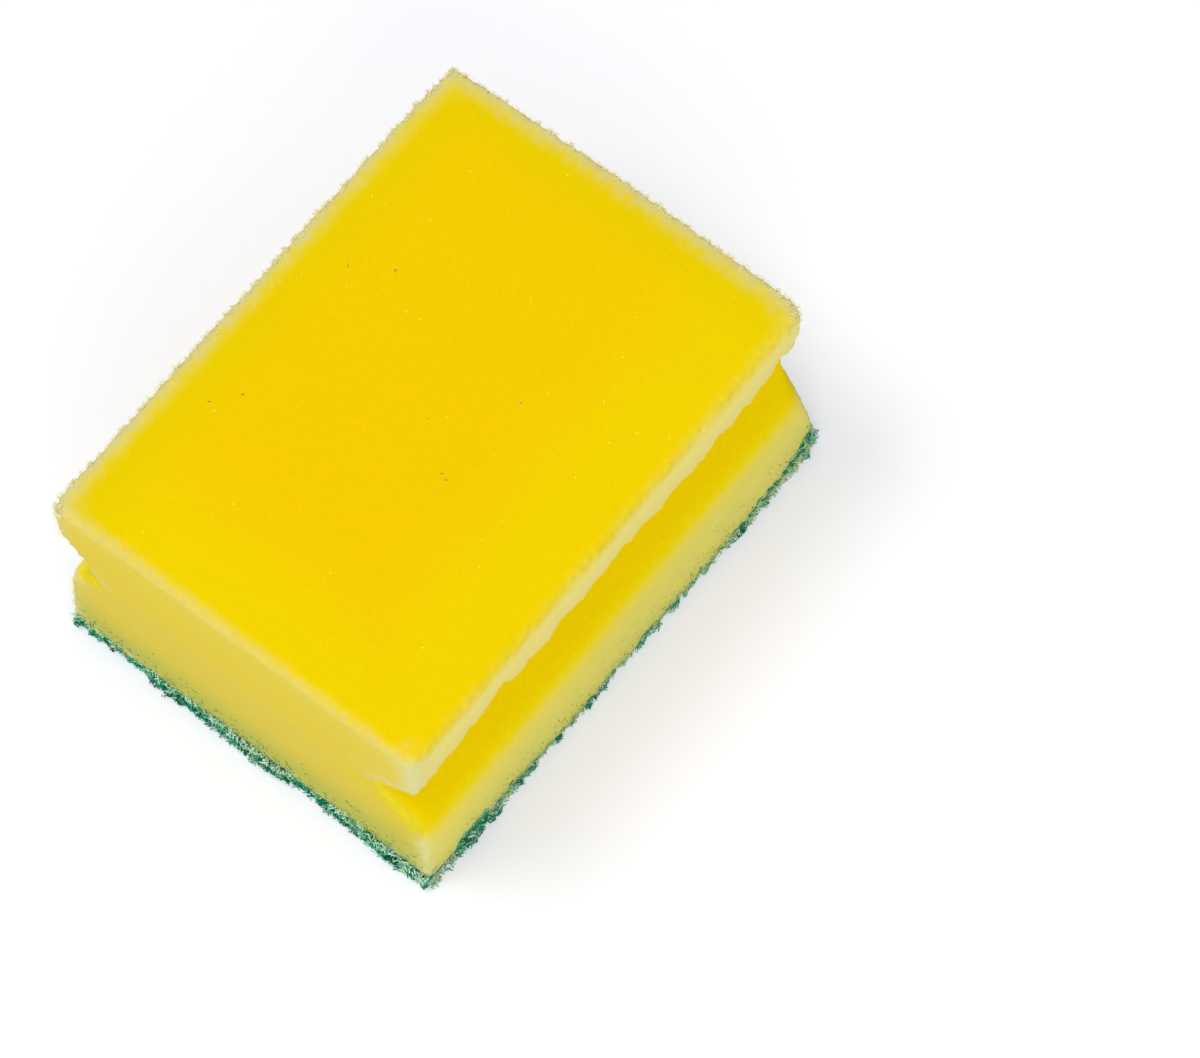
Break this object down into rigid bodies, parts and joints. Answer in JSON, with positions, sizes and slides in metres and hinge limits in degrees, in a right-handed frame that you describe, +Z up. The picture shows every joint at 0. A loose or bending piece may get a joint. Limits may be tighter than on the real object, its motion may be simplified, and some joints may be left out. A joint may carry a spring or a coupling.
{
  "type": "cleaning sponge",
  "caption": "Rectangular cleaning sponge: a soft yellow foam block with a V-shaped finger groove along each long side, bonded to a green fibre scouring pad.",
  "frame": {"origin": "centre of the pad's underside, midway along the length and the width of the whole sponge", "axes": "+X along the length and the finger grooves, +Y across the sponge, +Z up from the scouring pad to the foam's top; the -Y side is the long side that the picture shows"},
  "size_m": [0.0958, 0.0712, 0.0425],
  "materials": {
    "foam": "open-cell polyurethane foam, dull and slightly translucent at its edges",
    "scouring_fibre": "curly non-woven fibre, cut ragged at the edge"
  },
  "bodies": {
    "root": {"foam_body": "foam", "scouring_pad": "scouring_fibre"}
  },
  "joints": []
}
